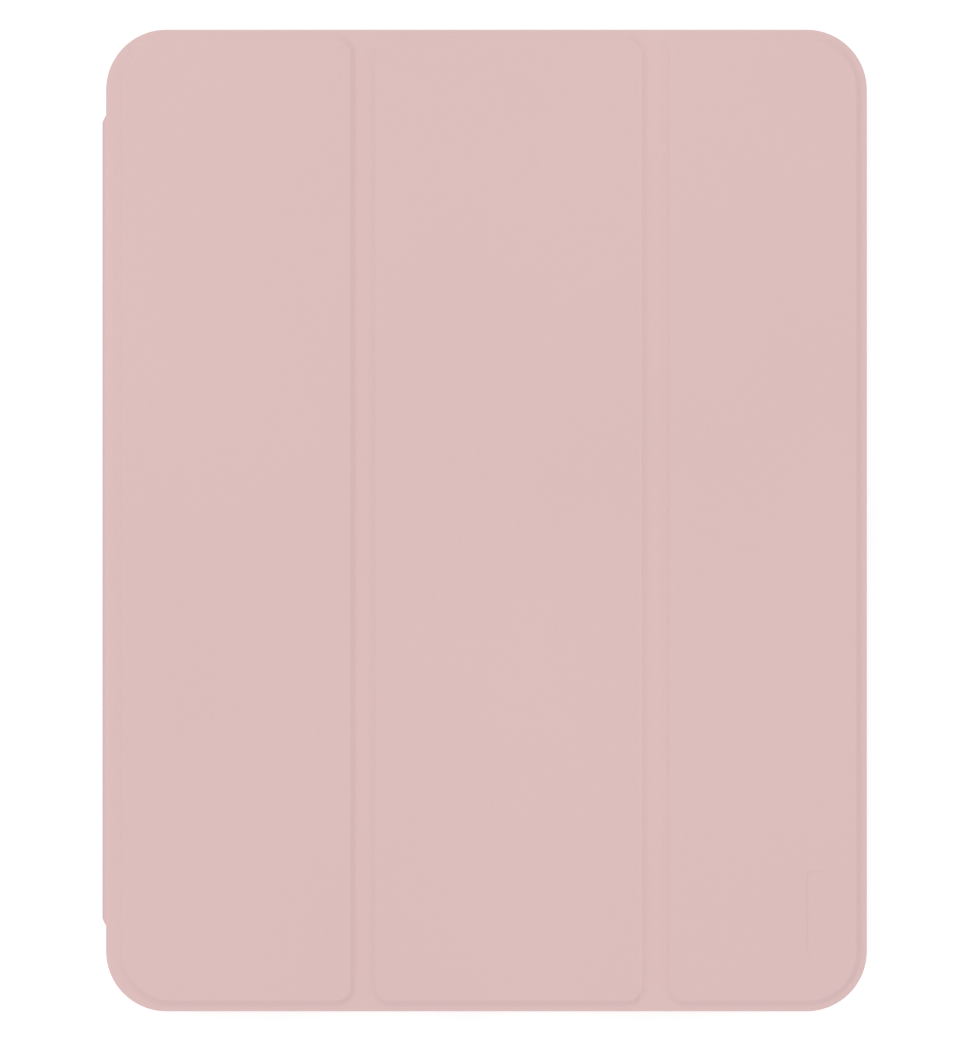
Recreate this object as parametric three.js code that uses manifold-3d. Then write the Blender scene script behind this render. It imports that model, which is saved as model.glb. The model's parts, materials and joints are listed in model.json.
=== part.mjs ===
// Folio case for an 11-inch-class tablet, closed, lying on its back with the cover up.
// Millimetres. +Z is up through the cover, +Y is the long side, the spine is on -X.
// The origin is the middle of the underside of the whole case.
import * as THREE from 'three';
import { mergeVertices } from 'three/addons/utils/BufferGeometryUtils.js';
import Module from 'manifold-3d';

const wasm = await Module();
wasm.setup();

// ---- driving dimensions -------------------------------------------------------------------
const COVER = { width: 197.3, length: 254.6, cornerRadius: 15.6 };
const TABLET = { width: 179.5, length: 248.6, thickness: 7.0 };
const STYLUS = { length: 166, diameter: 8.9, sideSlack: 1.6, endSlack: 2.5 };
const FIT_SLACK = 0.3; // free space on each side of the tablet
const SKIN = 0.6; // imitation-leather sheet
const LINING = 0.4; // microfibre sheet
const BOARD = 1.0; // stiffener inside each cover panel
const FLOOR = 1.3; // moulded tray floor
const LIP_HEIGHT = 0.9;
const LIP_SLACK = 0.2; // between the tablet's front edge and the lip
const LIP_REACH = 1.2; // how far the tray's lip grips over the tablet's edge
const COVER_OVERHANG = 0.6; // how far the cover stands out past the tray
const CLOSED_GAP = 0.1; // between the tray's rim and the closed cover
const DIVIDER = 1.2; // wall between the tablet and the stylus
const SLOT_WIDTH = STYLUS.diameter + STYLUS.sideSlack;
const SLOT_FLOOR = 0.5; // moulded floor left under the stylus
const SPINE = { proud: 1.1, board: 0.4, halfLength: 106, endBevel: 2.0 };
const FLEX_RADIUS = 2.0; // outer radius where the skin turns round an edge of the case
const RIM = 1.4; // flat border between the cover's edge and a raised panel
const SLOPE = 1.5; // width of a raised panel's soft edge
const PANEL_RADIUS = 3.6; // raised panel's corners beside a fold
const FOLD_AB = { left: -33.4, right: -29.4 };
const FOLD_BC = { left: 42.0, right: 47.0 };
const POCKET_SLACK = 0.3; // around a board, magnet or plate in its pocket
const CUT = 1; // how far a cutter runs past the face it cuts
const HAIR = 0.001; // leaves a rounded end or edge its last sliver of flat
const BEVEL_STEPS = 3;
const SMOOTH_FROM = 7; // corners of at least this radius get the finer steps
const STEPS = { fine: 6, coarse: 3 }; // half the segments in a quarter turn of an outline

// ---- levels, from the underside up ----------------------------------------------------------
const floorBottom = SKIN;
const floorTop = floorBottom + FLOOR;
const seatTop = floorTop + LINING; // what the tablet rests on
const lipBottom = seatTop + TABLET.thickness + LIP_SLACK;
const trayTop = lipBottom + LIP_HEIGHT;
const liningBottom = trayTop + CLOSED_GAP;
const liningTop = liningBottom + LINING;
const rimTop = liningTop + SKIN;
const boardTop = liningTop + BOARD;
const panelTop = boardTop + SKIN;

// ---- plan, from the spine to the free edge --------------------------------------------------
const halfLength = COVER.length / 2;
const coverRight = (COVER.width + SPINE.proud) / 2;
const coverLeft = coverRight - COVER.width;
const spineOuter = coverLeft - SPINE.proud;
const spineSkinInner = spineOuter + SKIN;
const spineBoardInner = spineSkinInner + SPINE.board;
const spineInner = spineBoardInner + LINING;
const trayLeft = coverLeft + COVER_OVERHANG;
const trayRight = coverRight - COVER_OVERHANG;
const trayHalfLength = halfLength - COVER_OVERHANG;
const trayRadius = COVER.cornerRadius - COVER_OVERHANG;
const bayHalfLength = TABLET.length / 2 + FIT_SLACK;
const wall = trayHalfLength - bayHalfLength;
const bayLeft = trayLeft + wall;
const bayRight = bayLeft + TABLET.width + 2 * FIT_SLACK;
const bayRadius = trayRadius - wall;
const slotLeft = bayRight + DIVIDER;
const slotRight = slotLeft + SLOT_WIDTH;
const flexCentreX = spineOuter + FLEX_RADIUS;
const FLEX_FLAT = 1.2; // flat stretch of flexible skin under the tray beside the spine
const backSkinLeft = flexCentreX + FLEX_FLAT;

// ---- colours --------------------------------------------------------------------------------
const finish = {
  skin: { color: 0xdcbebd, roughness: 0.62, metalness: 0 },
  lining: { color: 0xd6b7b6, roughness: 0.95, metalness: 0 },
  tray: { color: 0xd7b6b5, roughness: 0.55, metalness: 0 },
  board: { color: 0xd9d4cc, roughness: 0.8, metalness: 0 },
  magnet: { color: 0xc9ccd0, roughness: 0.25, metalness: 1 },
  plate: { color: 0x9a9da2, roughness: 0.4, metalness: 1 },
};

const tabletCase = new THREE.Group();
tabletCase.name = 'tablet_case';

// ---- shape helpers --------------------------------------------------------------------------

// A rectangle in plan whose four corners each have their own radius.
function outline(left, right, bottom, top, { lb = 0, rb = 0, rt = 0, lt = 0 } = {}) {
  const shape = new THREE.Shape();
  const quarter = Math.PI / 2;
  shape.moveTo(left + lb, bottom);
  shape.lineTo(right - rb, bottom);
  if (rb > 0) shape.absarc(right - rb, bottom + rb, rb, -quarter, 0, false);
  shape.lineTo(right, top - rt);
  if (rt > 0) shape.absarc(right - rt, top - rt, rt, 0, quarter, false);
  shape.lineTo(left + lt, top);
  if (lt > 0) shape.absarc(left + lt, top - lt, lt, quarter, 2 * quarter, false);
  shape.lineTo(left, bottom + lb);
  if (lb > 0) shape.absarc(left + lb, bottom + lb, lb, 2 * quarter, 3 * quarter, false);
  return shape;
}

function rounded(left, right, bottom, top, radius) {
  return outline(left, right, bottom, top, { lb: radius, rb: radius, rt: radius, lt: radius });
}

// A closed three.js geometry as a solid that can be cut and joined.
function solid(geometry) {
  const bare = geometry.clone();
  bare.deleteAttribute('normal');
  bare.deleteAttribute('uv');
  const merged = mergeVertices(bare, 1e-4);
  const vertProperties = new Float32Array(merged.attributes.position.array);
  const triVerts = new Uint32Array(merged.index.array);
  return new wasm.Manifold(new wasm.Mesh({ numProp: 3, vertProperties, triVerts }));
}

// Corner steps that suit an outline: fine if any of its arcs is large.
function stepsFor(shape) {
  const radii = shape.curves.map((curve) => curve.xRadius ?? 0);
  return Math.max(...radii) >= SMOOTH_FROM ? STEPS.fine : STEPS.coarse;
}

// A plan outline raised from one level to another.
function slab(shape, bottom, top) {
  const settings = { depth: top - bottom, bevelEnabled: false, curveSegments: stepsFor(shape) };
  const geometry = new THREE.ExtrudeGeometry(shape, settings);
  geometry.translate(0, 0, bottom);
  return solid(geometry);
}

// The same with rounded or sloped edges that widen it by spread at mid-height.
function cushion(shape, bottom, top, spread, rise) {
  const settings = {
    depth: top - bottom - 2 * rise,
    bevelEnabled: true,
    bevelThickness: rise,
    bevelSize: spread,
    bevelSegments: BEVEL_STEPS,
    curveSegments: stepsFor(shape),
  };
  const geometry = new THREE.ExtrudeGeometry(shape, settings);
  geometry.translate(0, 0, bottom + rise);
  return solid(geometry);
}

// A section drawn in X and Z, run along Y from front to back.
function run(section, front, back) {
  const settings = { depth: back - front, bevelEnabled: false, curveSegments: stepsFor(section) };
  const geometry = new THREE.ExtrudeGeometry(section, settings);
  geometry.rotateX(Math.PI / 2);
  geometry.translate(0, back, 0);
  return solid(geometry);
}

function addPart(name, body, look) {
  const mesh = body.getMesh();
  const geometry = new THREE.BufferGeometry();
  geometry.setAttribute('position', new THREE.BufferAttribute(mesh.vertProperties, 3));
  geometry.setIndex(new THREE.BufferAttribute(mesh.triVerts, 1));
  geometry.computeVertexNormals();
  const part = new THREE.Mesh(geometry, new THREE.MeshStandardMaterial(look));
  part.name = name;
  tabletCase.add(part);
}

// ---- tray: the moulded shell that grips the tablet -------------------------------------------
const EDGE_ROUND = 0.9; // rounding of the tray's outer edges
const NOTCH = { halfLength: 15, bottom: 5.2, radius: 4 };
const slotHalfLength = STYLUS.length / 2 + STYLUS.endSlack;
const SLOT_RADIUS = 1.5;
const slotFloor = floorBottom + SLOT_FLOOR;
const slotSeat = slotFloor + LINING;

const CAMERA = { inset: 15.6, half: 12.6, radius: 7.5, ring: 2.2, recess: 0.1 };
const camera = { x: bayRight - CAMERA.inset, y: bayHalfLength - CAMERA.inset, ...CAMERA };

// Openings through the two short walls: middle in X, width, bottom and top.
const OPENING_HEIGHT = { bottom: 3.5, top: 8.1 };
const SPEAKERS = { bottom: { offset: 52, width: 32 }, top: { offset: 20, width: 22 } };
const port = { x: (bayLeft + bayRight) / 2, width: 14, bottom: 2.7, top: 8.9 };
const powerKey = { x: bayRight - 24, width: 22, ...OPENING_HEIGHT };
const microphone = { x: port.x, width: 2.4, bottom: 4.6, top: 7.0 };
const speakerPair = ({ offset, width }) => [-1, 1].map(
  (side) => ({ x: port.x + side * offset, width, ...OPENING_HEIGHT }),
);

const KEY = { width: 19, height: 4.2, proud: 0.5, travel: 0.6, gap: 0.45, web: 0.8, stop: 0.1 };
const keyPlaces = { volume_up_key: bayLeft + 23.5, volume_down_key: bayLeft + 44.5 };
const keyMiddle = (OPENING_HEIGHT.bottom + OPENING_HEIGHT.top) / 2;
const keyPocketFloor = bayHalfLength + KEY.web;

// An opening with round ends, cut in the direction of Y.
function wallCutter({ x, width, bottom, top }, front, back) {
  const radius = Math.min(width, top - bottom) / 2 - HAIR;
  return run(rounded(x - width / 2, x + width / 2, bottom, top, radius), front, back);
}

function keyOutline(x, grow) {
  const half = { x: KEY.width / 2 + grow, z: KEY.height / 2 + grow };
  const radius = half.z - HAIR;
  return rounded(x - half.x, x + half.x, keyMiddle - half.z, keyMiddle + half.z, radius);
}

function squarePlan(half, radius) {
  return rounded(camera.x - half, camera.x + half, camera.y - half, camera.y + half, radius);
}

function buildTray() {
  const inner = rounded(
    trayLeft + EDGE_ROUND, trayRight - EDGE_ROUND,
    -trayHalfLength + EDGE_ROUND, trayHalfLength - EDGE_ROUND, trayRadius - EDGE_ROUND,
  );
  const block = cushion(inner, floorBottom, trayTop, EDGE_ROUND, EDGE_ROUND);
  const bay = rounded(bayLeft, bayRight, -bayHalfLength, bayHalfLength, bayRadius);
  const mouth = rounded(
    bayLeft + LIP_REACH, bayRight - LIP_REACH,
    -bayHalfLength + LIP_REACH, bayHalfLength - LIP_REACH, bayRadius - LIP_REACH,
  );
  const slot = rounded(slotLeft, slotRight, -slotHalfLength, slotHalfLength, SLOT_RADIUS);
  const notch = rounded(
    -NOTCH.halfLength, NOTCH.halfLength, NOTCH.bottom, trayTop + 2 * NOTCH.radius, NOTCH.radius,
  );
  const notchSettings = { depth: 2 * CUT + trayRight - slotRight, bevelEnabled: false };
  const notchGeometry = new THREE.ExtrudeGeometry(notch, notchSettings);
  notchGeometry.rotateX(Math.PI / 2);
  notchGeometry.rotateZ(Math.PI / 2);
  notchGeometry.translate(slotRight - CUT, 0, 0);
  let body = block
    .subtract(slab(bay, floorTop, lipBottom))
    .subtract(slab(mouth, lipBottom - CUT, trayTop + CUT))
    .subtract(slab(slot, slotFloor, trayTop + CUT))
    .subtract(solid(notchGeometry))
    .subtract(slab(squarePlan(camera.half + camera.ring, camera.radius + camera.ring),
      floorBottom - CUT, floorTop + CUT));
  for (const opening of [port, ...speakerPair(SPEAKERS.bottom)]) {
    body = body.subtract(wallCutter(opening, -trayHalfLength - CUT, -bayHalfLength + CUT));
  }
  for (const opening of [powerKey, microphone, ...speakerPair(SPEAKERS.top)]) {
    body = body.subtract(wallCutter(opening, bayHalfLength - CUT, trayHalfLength + CUT));
  }
  for (const x of Object.values(keyPlaces)) {
    body = body.subtract(run(keyOutline(x, KEY.gap), keyPocketFloor, trayHalfLength + CUT));
  }
  for (const plan of standPlatePlans(POCKET_SLACK)) {
    body = body.subtract(
      slab(plan, floorBottom - CUT, floorBottom + STAND_PLATE.thickness + STAND_PLATE.headroom),
    );
  }
  return body;
}

// ---- magnets in the free panel, and the steel they hold to when the case is a stand ------------
const MAGNET = { width: 8, length: 22, inset: 6 };
const magnetX = bayRight - MAGNET.inset;
const magnetRows = [-98, -44, 44, 98];
const WAKE_MAGNET = { x: magnetX - 14, y: 18, width: 6, length: 12 }; // wakes the tablet as the cover lifts
const STAND_PLATE = { x: -74.8, width: 12, length: 84, thickness: 0.5, headroom: 0.1 };

function standPlatePlans(grow) {
  const { x, width, length } = STAND_PLATE;
  const middle = (magnetRows[2] + magnetRows[3]) / 2;
  const half = { x: width / 2 + grow, y: length / 2 + grow };
  return [-middle, middle].map(
    (y) => outline(x - half.x, x + half.x, y - half.y, y + half.y),
  );
}

function magnetPlan(x, y, width, length, grow) {
  const half = { x: width / 2 + grow, y: length / 2 + grow };
  return outline(x - half.x, x + half.x, y - half.y, y + half.y);
}

function addTray() {
  addPart('tray_shell', buildTray(), finish.tray);

  const bayPlan = rounded(
    bayLeft + FIT_SLACK, bayRight - FIT_SLACK,
    -bayHalfLength + FIT_SLACK, bayHalfLength - FIT_SLACK, bayRadius - FIT_SLACK,
  );
  const cameraHole = slab(squarePlan(camera.half + camera.ring + FIT_SLACK,
    camera.radius + camera.ring + FIT_SLACK), -CUT, trayTop);
  addPart('tray_lining', slab(bayPlan, floorTop, seatTop).subtract(cameraHole), finish.lining);

  const slotPlan = rounded(
    slotLeft + FIT_SLACK, slotRight - FIT_SLACK,
    -slotHalfLength + FIT_SLACK, slotHalfLength - FIT_SLACK, SLOT_RADIUS - FIT_SLACK,
  );
  addPart('stylus_slot_lining', slab(slotPlan, slotFloor, slotSeat), finish.lining);

  const edge = COVER_OVERHANG + EDGE_ROUND;
  const backPlan = outline(
    backSkinLeft, coverRight - edge, -halfLength + edge, halfLength - edge,
    { lb: 0, rb: trayRadius - EDGE_ROUND, rt: trayRadius - EDGE_ROUND, lt: 0 },
  );
  const backEnvelope = rounded(
    trayLeft + EDGE_ROUND, coverRight, -halfLength + edge, halfLength - edge,
    trayRadius - EDGE_ROUND,
  );
  const back = slab(backPlan, 0, floorBottom)
    .intersect(slab(backEnvelope, -CUT, trayTop))
    .subtract(cameraHole);
  addPart('back_skin', back, finish.skin);

  const ring = slab(squarePlan(camera.half + camera.ring, camera.radius + camera.ring),
    camera.recess, floorTop)
    .subtract(slab(squarePlan(camera.half, camera.radius), -CUT, trayTop));
  addPart('camera_ring', ring, finish.tray);

  standPlatePlans(0).forEach((plan, index) => {
    const plate = slab(plan, floorBottom, floorBottom + STAND_PLATE.thickness);
    addPart(`stand_plate_${index + 1}`, plate, finish.plate);
  });
}

// ---- volume keys: caps that travel into pockets in the top wall --------------------------------
function addKeys() {
  const inner = keyPocketFloor + KEY.travel + KEY.stop;
  const outer = trayHalfLength + KEY.proud;
  for (const [name, x] of Object.entries(keyPlaces)) {
    addPart(name, run(keyOutline(x, 0), inner, outer), finish.tray);
  }
}

// ---- spine and the flexible skin on either side of it -------------------------------------------

// Plan of everything at the spine: its two ends are bevelled back to the cover's edge.
function spineEnvelope() {
  const { halfLength: half, endBevel } = SPINE;
  const shape = new THREE.Shape();
  shape.moveTo(backSkinLeft, -half);
  shape.lineTo(coverLeft, -half);
  shape.lineTo(spineOuter, -half + endBevel);
  shape.lineTo(spineOuter, half - endBevel);
  shape.lineTo(coverLeft, half);
  shape.lineTo(backSkinLeft, half);
  shape.closePath();
  return slab(shape, -CUT, panelTop + CUT);
}

// A quarter ring about the middle of the turn: +1 is the front edge, -1 the back edge.
function flexSection(centreZ, side, outer, inner, flat) {
  const quarter = Math.PI / 2;
  const shape = new THREE.Shape();
  shape.moveTo(flexCentreX + flat, centreZ + side * outer);
  shape.lineTo(flexCentreX, centreZ + side * outer);
  shape.absarc(flexCentreX, centreZ, outer, side * quarter, 2 * quarter * side, side < 0);
  shape.lineTo(flexCentreX - inner, centreZ);
  shape.absarc(flexCentreX, centreZ, inner, 2 * quarter * side, side * quarter, side > 0);
  shape.lineTo(flexCentreX + flat, centreZ + side * inner);
  shape.closePath();
  return shape;
}

function addSpine() {
  const envelope = spineEnvelope();
  const half = SPINE.halfLength;
  const low = FLEX_RADIUS;
  const high = rimTop - FLEX_RADIUS;
  const skinInner = FLEX_RADIUS - SKIN;
  const liningInner = skinInner - LINING;
  const upright = (left, right) => slab(outline(left, right, -half, half), low, high);
  const boardHalf = half - SPINE.endBevel;

  addPart('back_flex_skin',
    run(flexSection(low, -1, FLEX_RADIUS, skinInner, FLEX_FLAT), -half, half).intersect(envelope),
    finish.skin);
  addPart('spine_skin', upright(spineOuter, spineSkinInner).intersect(envelope), finish.skin);
  addPart('spine_board',
    slab(outline(spineSkinInner, spineBoardInner, -boardHalf, boardHalf), low, high),
    finish.board);
  addPart('spine_lining', upright(spineBoardInner, spineInner), finish.lining);
  addPart('front_flex_skin',
    run(flexSection(high, 1, FLEX_RADIUS, skinInner, 0), -half, half).intersect(envelope),
    finish.skin);
  addPart('front_flex_lining',
    run(flexSection(high, 1, skinInner, liningInner, 0), -half, half).intersect(envelope),
    finish.lining);
}

// ---- cover panels -----------------------------------------------------------------------------
const EVERYWHERE = outline(-COVER.width, COVER.width, -COVER.length, COVER.length);
const insideCover = outline(
  coverLeft + FIT_SLACK, coverRight - FIT_SLACK, -COVER.length, COVER.length,
);

// Each panel runs from one fold to the next; outer corners follow the case.
const panels = {
  a: { left: coverLeft, right: FOLD_AB.left, inset: { left: 3.1, right: 0 }, outer: 'left' },
  b: { left: FOLD_AB.right, right: FOLD_BC.left, inset: { left: 0, right: 0 }, outer: 'none' },
  c: { left: FOLD_BC.right, right: coverRight, inset: { left: 0, right: RIM }, outer: 'right' },
};

// The panel's outline drawn in by a border; corner radii shrink with it.
function panelPlan(panel, border, sideBorder, innerRadius) {
  const radius = COVER.cornerRadius - border;
  const left = panel.outer === 'left' ? radius : innerRadius;
  const right = panel.outer === 'right' ? radius : innerRadius;
  return outline(
    panel.left + panel.inset.left * sideBorder.inset + sideBorder.grow,
    panel.right - panel.inset.right * sideBorder.inset - sideBorder.grow,
    -halfLength + border, halfLength - border,
    { lb: left, lt: left, rb: right, rt: right },
  );
}

// Room for the spine's flexible skin where it meets the first panel.
function spineNotch() {
  const half = SPINE.halfLength;
  return slab(outline(spineOuter - CUT, flexCentreX, -half, half), 0, panelTop + CUT);
}

function addPanel(letter, boardCuts) {
  const panel = panels[letter];
  const sheet = panelPlan(panel, 0, { inset: 0, grow: 0 }, 0);
  const raisedTop = panelPlan(panel, RIM + SLOPE, { inset: 1, grow: SLOPE }, PANEL_RADIUS);
  const boardGrow = SLOPE + POCKET_SLACK;
  const boardPlan = panelPlan(
    panel, RIM + boardGrow, { inset: 1, grow: boardGrow }, PANEL_RADIUS - POCKET_SLACK,
  );
  const raise = panelTop - rimTop;
  const dome = cushion(raisedTop, rimTop - raise, panelTop, SLOPE, raise - HAIR)
    .intersect(slab(EVERYWHERE, liningTop + SKIN / 2, panelTop + CUT));
  let skin = slab(sheet, liningTop, rimTop)
    .add(dome)
    .subtract(slab(raisedTop, liningTop - CUT, boardTop));
  const liningPlan = panelPlan(panel, FIT_SLACK, { inset: 0, grow: 0 }, 0);
  let lining = slab(liningPlan, liningBottom, liningTop)
    .intersect(slab(insideCover, 0, panelTop));
  if (panel.outer === 'left') {
    skin = skin.subtract(spineNotch());
    lining = lining.subtract(spineNotch());
  }
  let board = slab(boardPlan, liningTop, boardTop);
  for (const cut of boardCuts) {
    board = board.subtract(slab(cut, liningTop - CUT, boardTop + CUT));
  }
  addPart(`panel_${letter}_skin`, skin, finish.skin);
  addPart(`panel_${letter}_board`, board, finish.board);
  addPart(`panel_${letter}_lining`, lining, finish.lining);
}

function addFold(name, fold) {
  const plan = outline(fold.left, fold.right, -halfLength, halfLength);
  const liningHalf = halfLength - FIT_SLACK;
  const liningPlan = outline(fold.left, fold.right, -liningHalf, liningHalf);
  addPart(`${name}_skin`, slab(plan, liningTop, rimTop), finish.skin);
  addPart(`${name}_lining`, slab(liningPlan, liningBottom, liningTop), finish.lining);
}

function addCover() {
  const { x, y, width, length } = WAKE_MAGNET;
  const magnetCuts = magnetRows.map(
    (row) => magnetPlan(magnetX, row, MAGNET.width, MAGNET.length, POCKET_SLACK),
  );
  addPanel('a', []);
  addPanel('b', []);
  addPanel('c', [...magnetCuts, magnetPlan(x, y, width, length, POCKET_SLACK)]);
  addFold('fold_ab', FOLD_AB);
  addFold('fold_bc', FOLD_BC);
  magnetRows.forEach((row, index) => {
    const plan = magnetPlan(magnetX, row, MAGNET.width, MAGNET.length, 0);
    addPart(`closing_magnet_${index + 1}`, slab(plan, liningTop, boardTop), finish.magnet);
  });
  addPart('wake_magnet', slab(magnetPlan(x, y, width, length, 0), liningTop, boardTop), finish.magnet);
}

addTray();
addKeys();
addSpine();
addCover();

export default tabletCase;
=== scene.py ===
# Folio case for an 11-inch-class tablet, closed, cover up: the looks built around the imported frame.
# Lengths in this script are millimetres until a mesh is made; Blender itself holds metres.
import json
import math

import bmesh
import bpy
import numpy as np
from mathutils.geometry import tessellate_polygon
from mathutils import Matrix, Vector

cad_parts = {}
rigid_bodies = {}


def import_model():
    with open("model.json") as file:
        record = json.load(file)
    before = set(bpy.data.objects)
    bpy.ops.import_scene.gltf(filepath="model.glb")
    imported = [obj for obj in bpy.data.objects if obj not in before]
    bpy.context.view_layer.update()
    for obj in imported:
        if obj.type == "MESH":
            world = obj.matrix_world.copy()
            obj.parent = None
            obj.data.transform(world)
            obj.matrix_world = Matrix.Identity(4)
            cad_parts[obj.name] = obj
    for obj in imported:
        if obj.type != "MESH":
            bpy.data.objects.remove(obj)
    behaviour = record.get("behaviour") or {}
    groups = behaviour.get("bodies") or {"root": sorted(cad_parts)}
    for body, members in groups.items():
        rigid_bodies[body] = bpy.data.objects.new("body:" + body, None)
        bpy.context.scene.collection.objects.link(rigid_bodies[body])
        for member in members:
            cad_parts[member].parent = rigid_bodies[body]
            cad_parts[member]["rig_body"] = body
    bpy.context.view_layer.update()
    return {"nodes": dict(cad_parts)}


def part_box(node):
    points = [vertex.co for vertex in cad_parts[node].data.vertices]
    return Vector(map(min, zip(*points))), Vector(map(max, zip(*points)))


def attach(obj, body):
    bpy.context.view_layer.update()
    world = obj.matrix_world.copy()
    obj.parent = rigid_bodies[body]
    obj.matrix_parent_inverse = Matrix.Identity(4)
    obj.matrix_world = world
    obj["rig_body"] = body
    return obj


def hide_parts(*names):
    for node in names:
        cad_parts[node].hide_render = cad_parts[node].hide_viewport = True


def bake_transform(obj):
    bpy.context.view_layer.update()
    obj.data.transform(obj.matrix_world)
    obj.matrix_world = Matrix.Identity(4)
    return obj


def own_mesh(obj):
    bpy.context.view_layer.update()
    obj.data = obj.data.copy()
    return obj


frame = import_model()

MM = 0.001


def span(node, axis):
    """Lowest and highest place of a CAD node along one axis, in millimetres."""
    low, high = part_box(node)
    return low[axis] / MM, high[axis] / MM


# ---- places taken from the frame ---------------------------------------------------------------
X, Y, Z = 0, 1, 2
lining_bottom, lining_top = span("panel_b_lining", Z)
rim_top = span("fold_ab_skin", Z)[1]
panel_top = span("panel_b_skin", Z)[1]
board_top = span("panel_b_board", Z)[1]
half_length = span("panel_b_skin", Y)[1]
cover_left = span("panel_a_skin", X)[0]
cover_right = span("panel_c_skin", X)[1]
fold_ab = span("fold_ab_skin", X)
fold_bc = span("fold_bc_skin", X)
spine_outer, spine_skin_inner = span("spine_skin", X)
spine_board_inner, spine_inner = span("spine_lining", X)
spine_low, spine_high = span("spine_skin", Z)
spine_half = span("spine_skin", Y)[1]
flex_flat_end = span("back_flex_skin", X)[1]
flex_centre = span("front_flex_skin", X)[1]

# ---- how the soft parts are finished -----------------------------------------------------------
CORNER = 15.6  # the cover's outer corners
RIM = 1.4  # flat border outside a raised panel
PANEL_LEFT_INSET = 3.1  # the same border beside the spine
FOLD_CORNER = 5.1  # a raised panel's corners beside a fold, at its foot
POCKET_INSET = 1.5  # the stiffener's pocket, in from the foot
FOOT_FLAT = 0.4  # flat stretch between a raised panel's foot and the folding strip
SLOPE_FROM, SLOPE_TO = -0.15, 1.65  # where a raised panel's soft edge begins and ends
EDGE_ROUND = 0.28  # the cover's free edge
LINING_INSET = 0.3
LINING_RELIEF = 0.08  # the lining is pressed thinner outside the stiffened panels
LINING_GROOVE = 0.16  # and thinner still where it folds
GROOVE_RAMP = 0.45  # width over which that groove runs out at a strip's side
STRIP_STATIONS = 28
CORNER_STEPS = 28


# ---- outlines ----------------------------------------------------------------------------------
def arc(cx, cy, radius, start, end, steps):
    """Points on an arc, angles in degrees."""
    angles = np.radians(np.linspace(start, end, steps + 1))
    return np.column_stack([cx + radius * np.cos(angles), cy + radius * np.sin(angles)])


def rounded_loop(left, right, bottom, top, radii, steps=CORNER_STEPS):
    """A rounded rectangle, anticlockwise from its lower right corner; radii are rb, rt, lt, lb."""
    rb, rt, lt, lb = radii
    return np.vstack([
        arc(right - rb, bottom + rb, rb, -90, 0, steps),
        arc(right - rt, top - rt, rt, 0, 90, steps),
        arc(left + lt, top - lt, lt, 90, 180, steps),
        arc(left + lb, bottom + lb, lb, 180, 270, steps),
    ])


outer_corner = CORNER - RIM
FEET = {
    "a": (cover_left + PANEL_LEFT_INSET, fold_ab[0], (FOLD_CORNER, FOLD_CORNER, outer_corner, outer_corner)),
    "b": (fold_ab[1], fold_bc[0], (FOLD_CORNER,) * 4),
    "c": (fold_bc[1], cover_right - RIM, (outer_corner, outer_corner, FOLD_CORNER, FOLD_CORNER)),
}
SIDES = {
    "a": (cover_left, fold_ab[0] + FOOT_FLAT),
    "b": (fold_ab[1] - FOOT_FLAT, fold_bc[0] + FOOT_FLAT),
    "c": (fold_bc[1] - FOOT_FLAT, cover_right),
}


def raised_loop(letter, inset):
    """A raised panel's outline, drawn in from its foot."""
    left, right, radii = FEET[letter]
    reach = half_length - RIM - inset
    return rounded_loop(left + inset, right - inset, -reach, reach, [r - inset for r in radii])


def sheet_loop(letter, inset):
    """A cover panel's sheet, its free edges drawn in. Also says which edges are cut flush at a joint."""
    left, right = SIDES[letter]
    top = half_length - inset
    radius = CORNER - inset
    ends = half_length - CORNER
    if letter == "b":
        points = np.array([(right, -top), (right, top), (left, top), (left, -top)])
        return points, [True, False, True, False]
    if letter == "c":
        points = np.vstack([
            [(left, top), (left, -top)],
            arc(right - CORNER, -ends, radius, -90, 0, CORNER_STEPS),
            arc(right - CORNER, ends, radius, 0, 90, CORNER_STEPS),
        ])
        return points, [True] + [False] * (len(points) - 1)
    upper = arc(left + CORNER, ends, radius, 90, 180, CORNER_STEPS)
    lower = arc(left + CORNER, -ends, radius, 180, 270, CORNER_STEPS)
    notch = [
        (left + inset, spine_half), (flex_centre, spine_half),
        (flex_centre, -spine_half), (left + inset, -spine_half),
    ]
    points = np.vstack([[(right, -top), (right, top)], upper, notch, lower])
    cut = [False] * len(points)
    cut[0] = True
    first = 2 + len(upper)
    for i in range(first, first + 3):
        cut[i] = True
    return points, cut


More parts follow.
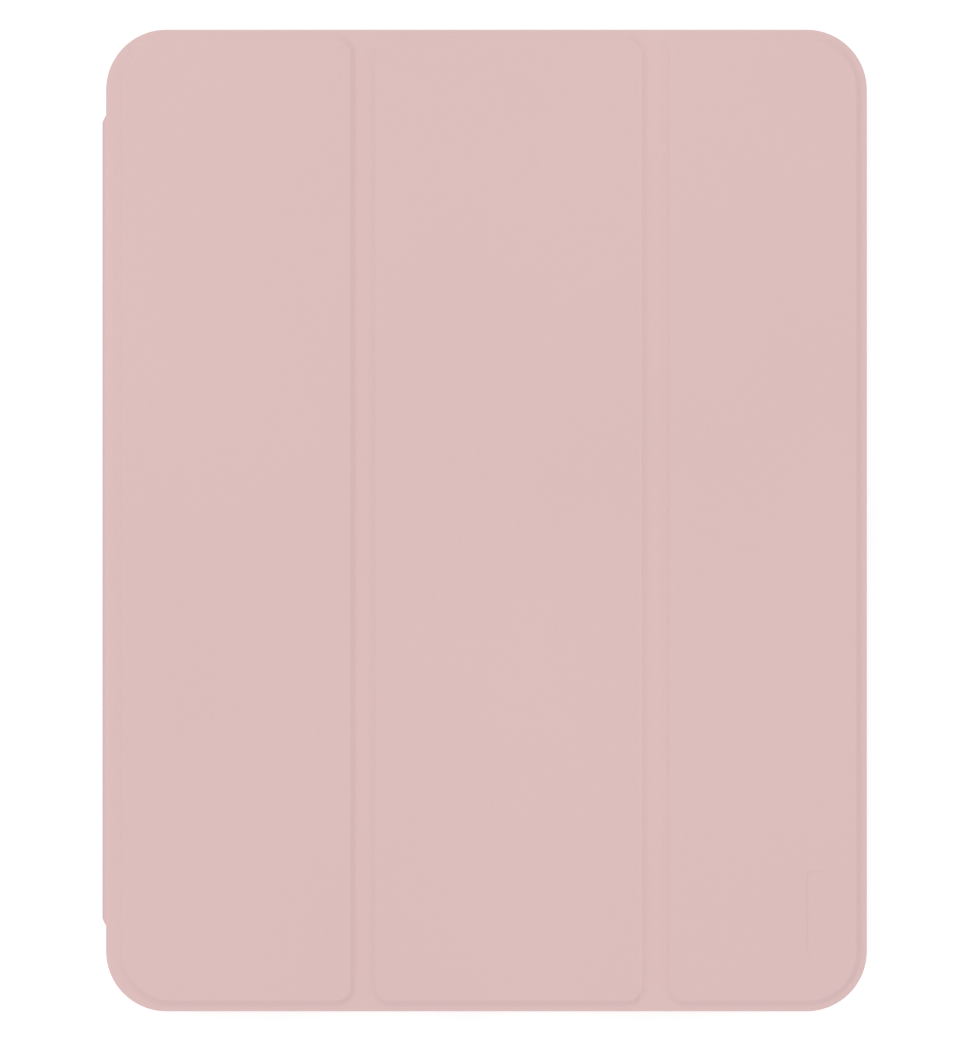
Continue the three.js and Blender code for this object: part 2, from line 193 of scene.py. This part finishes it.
# ---- mesh making -------------------------------------------------------------------------------
class Shell:
    """A closed mesh put together from loops of points; coincident points are merged at the end."""

    def __init__(self):
        self.bm = bmesh.new()

    def loop(self, points, z):
        heights = np.broadcast_to(z, len(points))
        return [self.bm.verts.new((p[0] * MM, p[1] * MM, h * MM)) for p, h in zip(points, heights)]

    def loop3(self, points):
        return [self.bm.verts.new(tuple(c * MM for c in p)) for p in points]

    def wall(self, loops, cut=None):
        """Faces between one loop and the next. A flush edge gets one flat face over the whole height."""
        count = len(loops[0])
        for i in range(count):
            j = (i + 1) % count
            if cut is not None and cut[i]:
                self.bm.faces.new([ring[i] for ring in loops] + [ring[j] for ring in reversed(loops)])
                continue
            for a, b in zip(loops, loops[1:]):
                self.bm.faces.new((a[i], a[j], b[j], b[i]))

    def cap(self, ring):
        self.bm.faces.new(ring)

    def fill(self, *rings):
        """A flat face inside the first ring and outside the others."""
        corners = [v for ring in rings for v in ring]
        for tri in tessellate_polygon([[v.co for v in ring] for ring in rings]):
            self.bm.faces.new([corners[i] for i in tri])

    def finish(self, name, material, slot, sharp=35):
        bmesh.ops.remove_doubles(self.bm, verts=self.bm.verts, dist=2e-7)
        bmesh.ops.dissolve_degenerate(self.bm, edges=self.bm.edges, dist=2e-7)
        bmesh.ops.recalc_face_normals(self.bm, faces=self.bm.faces)
        mesh = bpy.data.meshes.new(name)
        self.bm.to_mesh(mesh)
        self.bm.free()
        mesh.shade_smooth()
        mesh.set_sharp_from_angle(angle=math.radians(sharp))
        mesh.materials.append(material)
        piece = bpy.data.objects.new(name, mesh)
        bpy.context.scene.collection.objects.link(piece)
        return piece


def swept(stations, flat_ends=True):
    """A closed run from a list of closed sections of points in three dimensions. Ends that aren't flat
    close in strips, because such a section goes out along one face and comes back along the other."""
    shell = Shell()
    rings = [shell.loop3(section) for section in stations]
    shell.wall(rings)
    count = len(rings[0])
    for ring in (rings[0], rings[-1]):
        if flat_ends:
            shell.cap(ring)
            continue
        for i in range(count // 2 - 1):
            shell.cap((ring[i], ring[i + 1], ring[count - 2 - i], ring[count - 1 - i]))
    return shell


def refined(node, material, soften, segments=3, angle=38):
    """A CAD solid with its edges softened, standing for its node."""
    source = frame["nodes"][node]
    bm = bmesh.new()
    bm.from_mesh(source.data)
    bmesh.ops.remove_doubles(bm, verts=bm.verts, dist=1e-6)
    bmesh.ops.dissolve_limit(
        bm, angle_limit=math.radians(0.5), verts=bm.verts, edges=bm.edges, delimit={"NORMAL"}
    )
    mesh = bpy.data.meshes.new(node + "_finished")
    bm.to_mesh(mesh)
    bm.free()
    mesh.shade_smooth()
    mesh.materials.append(material)
    piece = bpy.data.objects.new(node + "_finished", mesh)
    bpy.context.scene.collection.objects.link(piece)
    bevel = piece.modifiers.new("soft edges", "BEVEL")
    bevel.width = soften * MM
    bevel.segments = segments
    bevel.limit_method = "ANGLE"
    bevel.angle_limit = math.radians(angle)
    bevel.miter_outer = "MITER_ARC"
    bevel.harden_normals = True
    depsgraph = bpy.context.evaluated_depsgraph_get()
    softened = bpy.data.meshes.new_from_object(piece.evaluated_get(depsgraph))
    piece.modifiers.clear()
    piece.data = softened
    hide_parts(node)
    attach(piece, source["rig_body"])
    return piece


# ---- materials ---------------------------------------------------------------------------------
def material_graph(name):
    material = bpy.data.materials.new(name)
    material.use_nodes = True
    tree = material.node_tree
    return material, tree, tree.nodes["Principled BSDF"]


def add_node(tree, kind, inputs=None, **settings):
    made = tree.nodes.new(kind)
    for key, value in settings.items():
        setattr(made, key, value)
    for key, value in (inputs or {}).items():
        if isinstance(value, bpy.types.NodeSocket):
            tree.links.new(value, made.inputs[key])
        else:
            made.inputs[key].default_value = value
    return made


def object_place(tree, stretch=(1, 1, 1)):
    place = add_node(tree, "ShaderNodeTexCoord").outputs["Object"]
    return add_node(tree, "ShaderNodeMapping", {"Vector": place, "Scale": stretch}).outputs["Vector"]


def noise(tree, place, scale, detail=2.0, rough=0.5):
    inputs = {"Vector": place, "Scale": scale, "Detail": detail, "Roughness": rough}
    return add_node(tree, "ShaderNodeTexNoise", inputs).outputs["Fac"]


def remap(tree, value, low, high, from_low=0.0, from_high=1.0):
    inputs = {"Value": value, "From Min": from_low, "From Max": from_high, "To Min": low, "To Max": high}
    return add_node(tree, "ShaderNodeMapRange", inputs).outputs["Result"]


def math_of(tree, operation, *values):
    """The result of a math node on sockets and numbers."""
    return add_node(tree, "ShaderNodeMath", dict(enumerate(values)), operation=operation).outputs[0]


def shade(tree, colour, *factors):
    """A colour made lighter or darker by each factor in turn."""
    result = None
    for factor in factors:
        mix = add_node(tree, "ShaderNodeVectorMath", operation="MULTIPLY")
        if result is None:
            mix.inputs[0].default_value = colour
        else:
            tree.links.new(result, mix.inputs[0])
        tree.links.new(factor, mix.inputs[1])
        result = mix.outputs[0]
    return result


def add_up(tree, *parts):
    total = parts[0]
    for part in parts[1:]:
        total = math_of(tree, "ADD", total, part)
    return total


def painted_light_in_folds(tree, place):
    """Painted light: makes the skin a little paler on the panels' borders, and more so on the slopes beside
    the two folds, to lift the shade that falls in those creases. The shape alone gives darker creases than
    the photograph shows."""
    parts = add_node(tree, "ShaderNodeSeparateXYZ", {"Vector": place}).outputs
    border_top = (rim_top + BORDER_BLEND) * MM
    factors = [remap(tree, parts["Z"], 1.0, 1 + PAINTED_LIGHT_BORDER, panel_top * MM, border_top)]
    on_slope = remap(tree, parts["Z"], 0.0, 1.0, rim_top * MM, (rim_top + SLOPE_BLEND) * MM)
    for foot, paler in ((fold_ab[0], PAINTED_LIGHT_FOLD_AB), (fold_bc[0], PAINTED_LIGHT_FOLD_BC)):
        middle = (foot - SLOPE_MIDDLE) * MM
        away = math_of(tree, "ABSOLUTE", math_of(tree, "SUBTRACT", parts["X"], middle))
        near = remap(tree, away, 1.0, 0.0, SLOPE_FULL * MM, SLOPE_GONE * MM)
        factors.append(remap(tree, math_of(tree, "MULTIPLY", near, on_slope), 1.0, 1 + paler))
    return factors


def bump(tree, shader, height, distance, strength=1.0):
    inputs = {"Height": height, "Distance": distance, "Strength": strength}
    made = add_node(tree, "ShaderNodeBump", inputs)
    tree.links.new(made.outputs["Normal"], shader.inputs["Normal"])


SKIN_COLOUR = (0.631, 0.4465, 0.4415)
PAINTED_LIGHT_BORDER, PAINTED_LIGHT_FOLD_AB, PAINTED_LIGHT_FOLD_BC = 0.015, 0.024, 0.060  # shares of the skin's colour, painted light lifting the shade in the creases
BORDER_BLEND = 0.2  # above the rim, where the border's painted light is at its full strength
SLOPE_BLEND = 0.12  # above the rim, where the slope's painted light is at its full strength
SLOPE_MIDDLE = 0.75  # how far the middle of a fold's slope is from its foot
SLOPE_FULL, SLOPE_GONE = 0.7, 1.15  # how far from that middle the painted light is whole, and ends
NAP_COLOUR = (0.560, 0.392, 0.388)
TRAY_COLOUR = (0.590, 0.415, 0.410)


def leather():
    """Smooth-touch imitation leather: a fine irregular pebble, a few soft creases, matt."""
    material, tree, shader = material_graph("imitation_leather")
    place = object_place(tree)
    wander = add_node(tree, "ShaderNodeTexNoise", {"Vector": place, "Scale": 900.0, "Detail": 2.0})
    drift = add_node(tree, "ShaderNodeVectorMath", {0: wander.outputs["Color"], "Scale": 0.0005},
                     operation="SCALE")
    bent = add_node(tree, "ShaderNodeVectorMath", {0: place, 1: drift.outputs[0]}, operation="ADD")
    cells = add_node(tree, "ShaderNodeTexVoronoi", {"Vector": bent.outputs[0], "Scale": 1500.0},
                     feature="DISTANCE_TO_EDGE")
    pebble = remap(tree, cells.outputs["Distance"], 0.0, 1.0, 0.0, 0.16)
    pores = noise(tree, place, 5200.0, 2.0)
    rolling = noise(tree, place, 240.0, 3.0)
    height = add_up(tree, remap(tree, pebble, 0.0, 0.6), remap(tree, pores, 0.0, 0.35),
                    remap(tree, rolling, 0.0, 1.4))
    bump(tree, shader, height, 0.000022)
    broad = noise(tree, place, 9.0, 3.0)
    # The pebble and the broad tone are the skin's own colour; the last factors are painted light in the
    # creases.
    tone = shade(tree, SKIN_COLOUR, remap(tree, pebble, 0.988, 1.004),
                 remap(tree, broad, 0.990, 1.010, 0.3, 0.7), *painted_light_in_folds(tree, place))
    tree.links.new(tone, shader.inputs["Base Color"])
    tree.links.new(remap(tree, add_up(tree, pebble, pores), 0.66, 0.56, 0.2, 1.6),
                   shader.inputs["Roughness"])
    shader.inputs["Specular IOR Level"].default_value = 0.38
    shader.inputs["Sheen Weight"].default_value = 0.05
    shader.inputs["Sheen Roughness"].default_value = 0.5
    return material


def microfibre():
    """Short-nap microfibre: brushed patches, fine fibres, sheen at grazing angles."""
    material, tree, shader = material_graph("microfibre_nap")
    place = object_place(tree)
    fibres = noise(tree, object_place(tree, (1.0, 0.35, 1.0)), 4200.0, 3.0, 0.6)
    tufts = noise(tree, place, 1300.0, 2.0)
    brushed = noise(tree, object_place(tree, (1.0, 0.5, 1.0)), 34.0, 3.0, 0.55)
    height = add_up(tree, fibres, remap(tree, tufts, 0.0, 1.2))
    bump(tree, shader, height, 0.000040)
    tone = shade(tree, NAP_COLOUR, remap(tree, fibres, 0.90, 1.08, 0.25, 0.75),
                 remap(tree, brushed, 0.955, 1.045, 0.3, 0.7))
    tree.links.new(tone, shader.inputs["Base Color"])
    tree.links.new(remap(tree, fibres, 0.98, 0.86), shader.inputs["Roughness"])
    shader.inputs["Specular IOR Level"].default_value = 0.2
    shader.inputs["Sheen Weight"].default_value = 0.45
    shader.inputs["Sheen Roughness"].default_value = 0.42
    shader.inputs["Sheen Tint"].default_value = (1.0, 0.84, 0.83, 1.0)
    return material


def flexible_plastic():
    """Moulded flexible plastic with a fine spark-eroded satin."""
    material, tree, shader = material_graph("satin_flexible_plastic")
    place = object_place(tree)
    spark = noise(tree, place, 6400.0, 3.0, 0.6)
    flow = noise(tree, place, 55.0, 2.0)
    bump(tree, shader, add_up(tree, spark, remap(tree, flow, 0.0, 2.5)), 0.000010)
    tone = shade(tree, TRAY_COLOUR, remap(tree, flow, 0.985, 1.015, 0.3, 0.7),
                 remap(tree, spark, 0.985, 1.012, 0.3, 0.7))
    tree.links.new(tone, shader.inputs["Base Color"])
    tree.links.new(remap(tree, spark, 0.40, 0.52, 0.3, 0.7), shader.inputs["Roughness"])
    shader.inputs["Specular IOR Level"].default_value = 0.45
    return material


def stiffener_board():
    """Pressed fibre board."""
    material, tree, shader = material_graph("pressed_fibre_board")
    fibres = noise(tree, object_place(tree, (1.0, 0.12, 1.0)), 2600.0, 4.0, 0.65)
    flecks = noise(tree, object_place(tree, (0.2, 1.0, 1.0)), 900.0, 2.0)
    bump(tree, shader, add_up(tree, fibres, flecks), 0.00003)
    tone = shade(tree, (0.60, 0.56, 0.49), remap(tree, fibres, 0.82, 1.12, 0.3, 0.7),
                 remap(tree, flecks, 0.92, 1.05, 0.3, 0.7))
    tree.links.new(tone, shader.inputs["Base Color"])
    tree.links.new(remap(tree, fibres, 0.75, 0.92), shader.inputs["Roughness"])
    return material


def plated_metal(name, colour, low, high, stretch):
    """Nickel plate or brushed steel; the stretch gives the direction of the brushing."""
    material, tree, shader = material_graph(name)
    scratches = noise(tree, object_place(tree, stretch), 3000.0, 3.0, 0.6)
    clouds = noise(tree, object_place(tree), 300.0, 2.0)
    bump(tree, shader, scratches, 0.000004)
    tone = shade(tree, colour, remap(tree, clouds, 0.93, 1.04, 0.3, 0.7))
    tree.links.new(tone, shader.inputs["Base Color"])
    tree.links.new(remap(tree, scratches, low, high, 0.3, 0.7), shader.inputs["Roughness"])
    shader.inputs["Metallic"].default_value = 1.0
    return material


LEATHER = leather()
NAP = microfibre()
PLASTIC = flexible_plastic()
BOARD = stiffener_board()
NICKEL = plated_metal("nickel_plate", (0.66, 0.65, 0.62), 0.18, 0.32, (1, 1, 1))
STEEL = plated_metal("brushed_steel", (0.50, 0.50, 0.51), 0.28, 0.46, (1.0, 0.05, 1.0))


# ---- cover panels ------------------------------------------------------------------------------
def soft_step(u, foot=0.2, crest=0.28):
    """A slope from 0 to 1 with a rounded foot and a rounded crest."""
    rate = 1 / (1 - foot / 2 - crest / 2)
    if u < foot:
        return rate * u * u / (2 * foot)
    if u > 1 - crest:
        return 1 - rate * (1 - u) ** 2 / (2 * crest)
    return rate * (u - foot / 2)


def rounded_edge(top, bottom, radius, inner, toe):
    """Free edge of a sheet, from above to below: how far in, and at what height."""
    turn = [math.radians(a) for a in (0, 22.5, 45, 67.5, 90)]
    bend = [(radius * (1 - math.sin(a)), top - radius * (1 - math.cos(a))) for a in turn]
    return [(inner, top), *bend, (0.0, bottom + toe), (toe, bottom)]


SKIN_EDGE = rounded_edge(rim_top, lining_top, EDGE_ROUND, 0.6, 0.06)
SLOPE_STEPS = (0.0, 0.07, 0.14, 0.2, 0.72, 0.8, 0.87, 0.94, 1.0)
PRESSED_MARK = {"x": 85.7, "y": -102.0, "half_width": 2.3, "half_length": 11.6, "depth": 0.16}


def mark_loop(inset):
    """A plain pill-shaped mark pressed into the free panel."""
    m = PRESSED_MARK
    width, length = m["half_width"] - inset, m["half_length"] - inset
    return rounded_loop(m["x"] - width, m["x"] + width, m["y"] - length, m["y"] + length,
                        [width - 0.001] * 4, 10)


def panel_skin(letter):
    shell = Shell()
    cut = sheet_loop(letter, 0)[1]
    edge = [shell.loop(sheet_loop(letter, inset)[0], z) for inset, z in SKIN_EDGE]
    shell.wall(edge, cut)

    reach = SLOPE_TO - SLOPE_FROM
    rise = panel_top - rim_top
    slope = [
        shell.loop(raised_loop(letter, SLOPE_FROM + u * reach), rim_top + rise * soft_step(u))
        for u in SLOPE_STEPS
    ]
    foot = shell.loop(raised_loop(letter, SLOPE_FROM - 0.12), rim_top)
    crest = shell.loop(raised_loop(letter, SLOPE_TO + 0.4), panel_top)
    shell.wall([foot, *slope, crest])
    shell.fill(edge[0], foot)

    if letter == "c":
        depth = PRESSED_MARK["depth"]
        profile = [(-0.25, 0), (0, 0), (0.1, 0.15), (0.2, 0.5), (0.3, 0.85), (0.4, 1), (0.6, 1)]
        mark = [shell.loop(mark_loop(inset), panel_top - depth * part) for inset, part in profile]
        shell.wall(mark)
        shell.cap(mark[-1])
        shell.fill(crest, mark[0])
    else:
        shell.cap(crest)

    pocket = [shell.loop(raised_loop(letter, POCKET_INSET), z) for z in (lining_top, board_top + 0.02)]
    shell.fill(edge[-1], pocket[0])
    shell.wall(pocket)
    shell.cap(pocket[1])
    piece = shell.finish(f"panel_{letter}_leather", LEATHER, "cover_skin")
    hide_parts(f"panel_{letter}_skin")
    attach(piece, f"panel_{letter}")


LINING_EDGE = [
    (LINING_INSET, lining_top),
    (LINING_INSET, lining_bottom + LINING_RELIEF + 0.14),
    (LINING_INSET + 0.04, lining_bottom + LINING_RELIEF + 0.05),
    (LINING_INSET + 0.14, lining_bottom + LINING_RELIEF),
    (LINING_INSET + 0.5, lining_bottom + LINING_RELIEF),
]


RELIEF_FROM, RELIEF_WIDTH = 0.9, 0.9  # the relief's slope, in from a raised panel's foot
RELIEF_STEPS = (0, 0.1, 0.2, 0.5, 0.72, 0.86, 1)


def panel_lining(letter):
    shell = Shell()
    cut = sheet_loop(letter, 0)[1]
    edge = [shell.loop(sheet_loop(letter, inset)[0], z) for inset, z in LINING_EDGE]
    shell.wall(edge, cut)
    shell.cap(edge[0])
    relief = [
        shell.loop(
            raised_loop(letter, RELIEF_FROM + RELIEF_WIDTH * u),
            lining_bottom + LINING_RELIEF * (1 - soft_step(u)),
        )
        for u in RELIEF_STEPS
    ]
    foot = shell.loop(raised_loop(letter, 0.6), lining_bottom + LINING_RELIEF)
    crest = shell.loop(raised_loop(letter, 2.2), lining_bottom)
    shell.fill(edge[-1], foot)
    shell.wall([foot, *relief, crest])
    shell.cap(crest)
    piece = shell.finish(f"panel_{letter}_microfibre", NAP, "microfibre")
    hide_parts(f"panel_{letter}_lining")
    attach(piece, f"panel_{letter}")


for panel in "abc":
    panel_skin(panel)
    panel_lining(panel)


# ---- folding strips between the panels ----------------------------------------------------------
def fold_strip(name, left_panel, right_panel, edge, groove, material, slot, node):
    """A strip that joins two panels; its section runs along Y and it is swept along X.
    A groove thins it from below, and runs out at its two sides."""
    left, right = SIDES[left_panel][1], SIDES[right_panel][0]
    top, bottom = edge[0][1], edge[-1][1]
    stations = []
    for x in np.linspace(left, right, STRIP_STATIONS + 1):
        lift = groove * soft_step(min(1.0, min(x - left, right - x) / GROOVE_RAMP))
        near = [(x, half_length - inset, z + lift * (top - z) / (top - bottom)) for inset, z in edge]
        stations.append(near + [(px, -py, pz) for px, py, pz in reversed(near)])
    piece = swept(stations).finish(name, material, slot)
    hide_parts(node)
    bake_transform(piece)


for left_panel, right_panel in ("ab", "bc"):
    pair = left_panel + right_panel
    fold_strip(f"fold_{pair}_leather", left_panel, right_panel, SKIN_EDGE, 0.0,
               LEATHER, "cover_skin", f"fold_{pair}_skin")
    fold_strip(f"fold_{pair}_microfibre", left_panel, right_panel, LINING_EDGE, LINING_GROOVE,
               NAP, "microfibre", f"fold_{pair}_lining")


# ---- spine and the flexible skin at its two edges ------------------------------------------------
END_BEVEL = 2.0  # the spine's two ends are cut back this far at its outer face
SPINE_STATIONS = (-1.0, -0.9995, -0.998, -0.99, 0.0, 0.99, 0.998, 0.9995, 1.0)


def spine_end(x):
    """How far from the middle the spine reaches, at a place x. Its ends curve in towards its outer
    face, where the square root has come down to a half and they are cut back by END_BEVEL."""
    outward = max(0.0, (cover_left - x) / (cover_left - spine_outer))
    return spine_half - END_BEVEL * (1 - math.sqrt(max(0.0, 1 - 0.75 * outward))) * 2


def spine_run(name, section, material, slot):
    stations = [[(x, share * spine_end(x), z) for x, z in section] for share in SPINE_STATIONS]
    return swept(stations, flat_ends=False).finish(name, material, slot, sharp=40)


def turned(centre_z, outer, inner, start, end, steps=14):
    """Section of a sheet that turns round the spine's edge, between two angles."""
    out = arc(flex_centre, centre_z, outer, start, end, steps)
    back = arc(flex_centre, centre_z, inner, end, start, steps)
    return out, back


outer_radius = flex_centre - spine_outer
skin_radius = flex_centre - spine_skin_inner
lining_radius = skin_radius - (lining_top - lining_bottom)

upright = [(spine_outer, spine_low), (spine_outer, spine_high), (spine_skin_inner, spine_high),
           (spine_skin_inner, spine_low)]
piece = spine_run("spine_leather", upright, LEATHER, "cover_skin")
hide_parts("spine_skin")
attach(piece, "spine")

inner_upright = [(spine_board_inner, spine_low), (spine_board_inner, spine_high),
                 (spine_inner, spine_high), (spine_inner, spine_low)]
piece = spine_run("spine_microfibre", inner_upright, NAP, "microfibre")
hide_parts("spine_lining")
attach(piece, "spine")


def flex(name, centre_z, outer, inner, start, end, material, slot, node, flat=0.0):
    """One stretch of the skin's turn round the spine's edge, from its start angle to its end angle."""
    out, back = turned(centre_z, outer, inner, start, end)
    section = np.vstack([out, back])
    if flat:
        low, high = centre_z - outer, centre_z - inner
        section = np.vstack([out, [(flex_centre + flat, low), (flex_centre + flat, high)], back])
    piece = spine_run(name, section, material, slot)
    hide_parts(node)
    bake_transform(piece)


flex("front_flex_leather", spine_high, outer_radius, skin_radius, 90, 180, LEATHER, "cover_skin",
     "front_flex_skin")
flex("front_flex_microfibre", spine_high, skin_radius, lining_radius, 90, 180, NAP, "microfibre",
     "front_flex_lining")
flex("back_flex_leather_upper", spine_low, outer_radius, skin_radius, 180, 225, LEATHER,
     "cover_skin", "back_flex_skin")
flex("back_flex_leather_lower", spine_low, outer_radius, skin_radius, 225, 270, LEATHER,
     "cover_skin", "back_flex_skin", flat=flex_flat_end - flex_centre)

# ---- moulded and hidden parts, from their CAD solids --------------------------------------------
refined("tray_shell", PLASTIC, 0.22)
refined("camera_ring", PLASTIC, 0.35, 4)
refined("volume_up_key", PLASTIC, 0.4, 4)
refined("volume_down_key", PLASTIC, 0.4, 4)
refined("back_skin", LEATHER, 0.18)
refined("tray_lining", NAP, 0.12)
refined("stylus_slot_lining", NAP, 0.12)
for name in ("panel_a_board", "panel_b_board", "panel_c_board", "spine_board"):
    refined(name, BOARD, 0.08, 2)
for name in ("closing_magnet_1", "closing_magnet_2", "closing_magnet_3", "closing_magnet_4", "wake_magnet"):
    refined(name, NICKEL, 0.15)
for name in ("stand_plate_1", "stand_plate_2"):
    refined(name, STEEL, 0.06, 2)

# ---- floor, light and camera ---------------------------------------------------------------------
FLOOR_HALF = 6.0
FLOOR_LEVEL = -0.0002
COVERED_FROM, COVERED_FULLY = 2.0, 15.0  # in from the case's outline, where the floor's glow fades out into a painted shadow
OPEN_TONE, PAINTED_LIGHT_UNDER_CASE = 0.5, 0.9  # the floor's colour outside the case, and a paler colour under it that is painted light
GLOW_FOR_LIGHT, GLOW_FOR_CAMERA = 0.15, 0.62
floor_mesh = bpy.data.meshes.new("floor")
floor_mesh.from_pydata(
    [(sx * FLOOR_HALF, sy * FLOOR_HALF, FLOOR_LEVEL) for sx, sy in ((-1, -1), (1, -1), (1, 1), (-1, 1))],
    [], [(0, 1, 2, 3)],
)
floor = bpy.data.objects.new("floor", floor_mesh)
bpy.context.scene.collection.objects.link(floor)
floor_material, floor_tree, floor_shader = material_graph("pale_floor")
# Under the case the floor's glow fades out, a painted shadow, and its colour is paler, painted light; there
# it is lit only by what falls in through the openings.
ground = add_node(floor_tree, "ShaderNodeSeparateXYZ", {"Vector": object_place(floor_tree)}).outputs
inward = [
    math_of(floor_tree, "SUBTRACT", reach * MM, math_of(floor_tree, "ABSOLUTE", ground[axis]))
    for axis, reach in (("X", cover_right), ("Y", half_length))
]
covered = add_node(
    floor_tree, "ShaderNodeMapRange",
    {"Value": math_of(floor_tree, "MINIMUM", *inward), "From Min": COVERED_FROM * MM,
     "From Max": COVERED_FULLY * MM},
    interpolation_type="SMOOTHSTEP",
).outputs["Result"]
floor_tree.links.new(remap(floor_tree, covered, OPEN_TONE, PAINTED_LIGHT_UNDER_CASE), floor_shader.inputs["Base Color"])
floor_shader.inputs["Roughness"].default_value = 0.9
floor_shader.inputs["Specular IOR Level"].default_value = 0.0
floor_shader.inputs["Emission Color"].default_value = (1, 1, 1, 1)
seen = add_node(floor_tree, "ShaderNodeLightPath").outputs["Is Camera Ray"]
glow = remap(floor_tree, seen, GLOW_FOR_LIGHT, GLOW_FOR_CAMERA)
# No glow where the case covers the floor: a painted shadow.
bare = math_of(floor_tree, "SUBTRACT", 1.0, covered)
floor_tree.links.new(math_of(floor_tree, "MULTIPLY", bare, glow),
                     floor_shader.inputs["Emission Strength"])
floor_mesh.materials.append(floor_material)
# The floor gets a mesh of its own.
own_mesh(floor)

world = bpy.data.worlds.new("studio")
bpy.context.scene.world = world
world.use_nodes = True
world.node_tree.nodes["Background"].inputs["Color"].default_value = (1, 1, 1, 1)
world.node_tree.nodes["Background"].inputs["Strength"].default_value = 1.0

key = bpy.data.lights.new("soft_key", "AREA")
key.shape = "DISK"
key.size = 2.2
key.energy = 15.0
key_object = bpy.data.objects.new("soft_key", key)
bpy.context.scene.collection.objects.link(key_object)
key_object.location = (-1.34, 1.16, 2.42)
key_object.rotation_euler = (-key_object.location).to_track_quat("-Z", "Y").to_euler()

VIEW_HEIGHT = 0.2697  # what the photograph's long side takes in, at the cover's rim
LENS = 135.0
FRAMING = (0.00018, 0.00012)  # the photograph is framed this far off the case's middle
SENSOR = 36.0
camera_data = bpy.data.cameras.new("camera")
camera_data.lens = LENS
camera_data.sensor_width = SENSOR
camera = bpy.data.objects.new("camera", camera_data)
bpy.context.scene.collection.objects.link(camera)
camera.location = (*FRAMING, rim_top * MM + VIEW_HEIGHT * LENS / SENSOR)
bpy.context.scene.camera = camera
bpy.context.scene.view_settings.view_transform = "Standard"
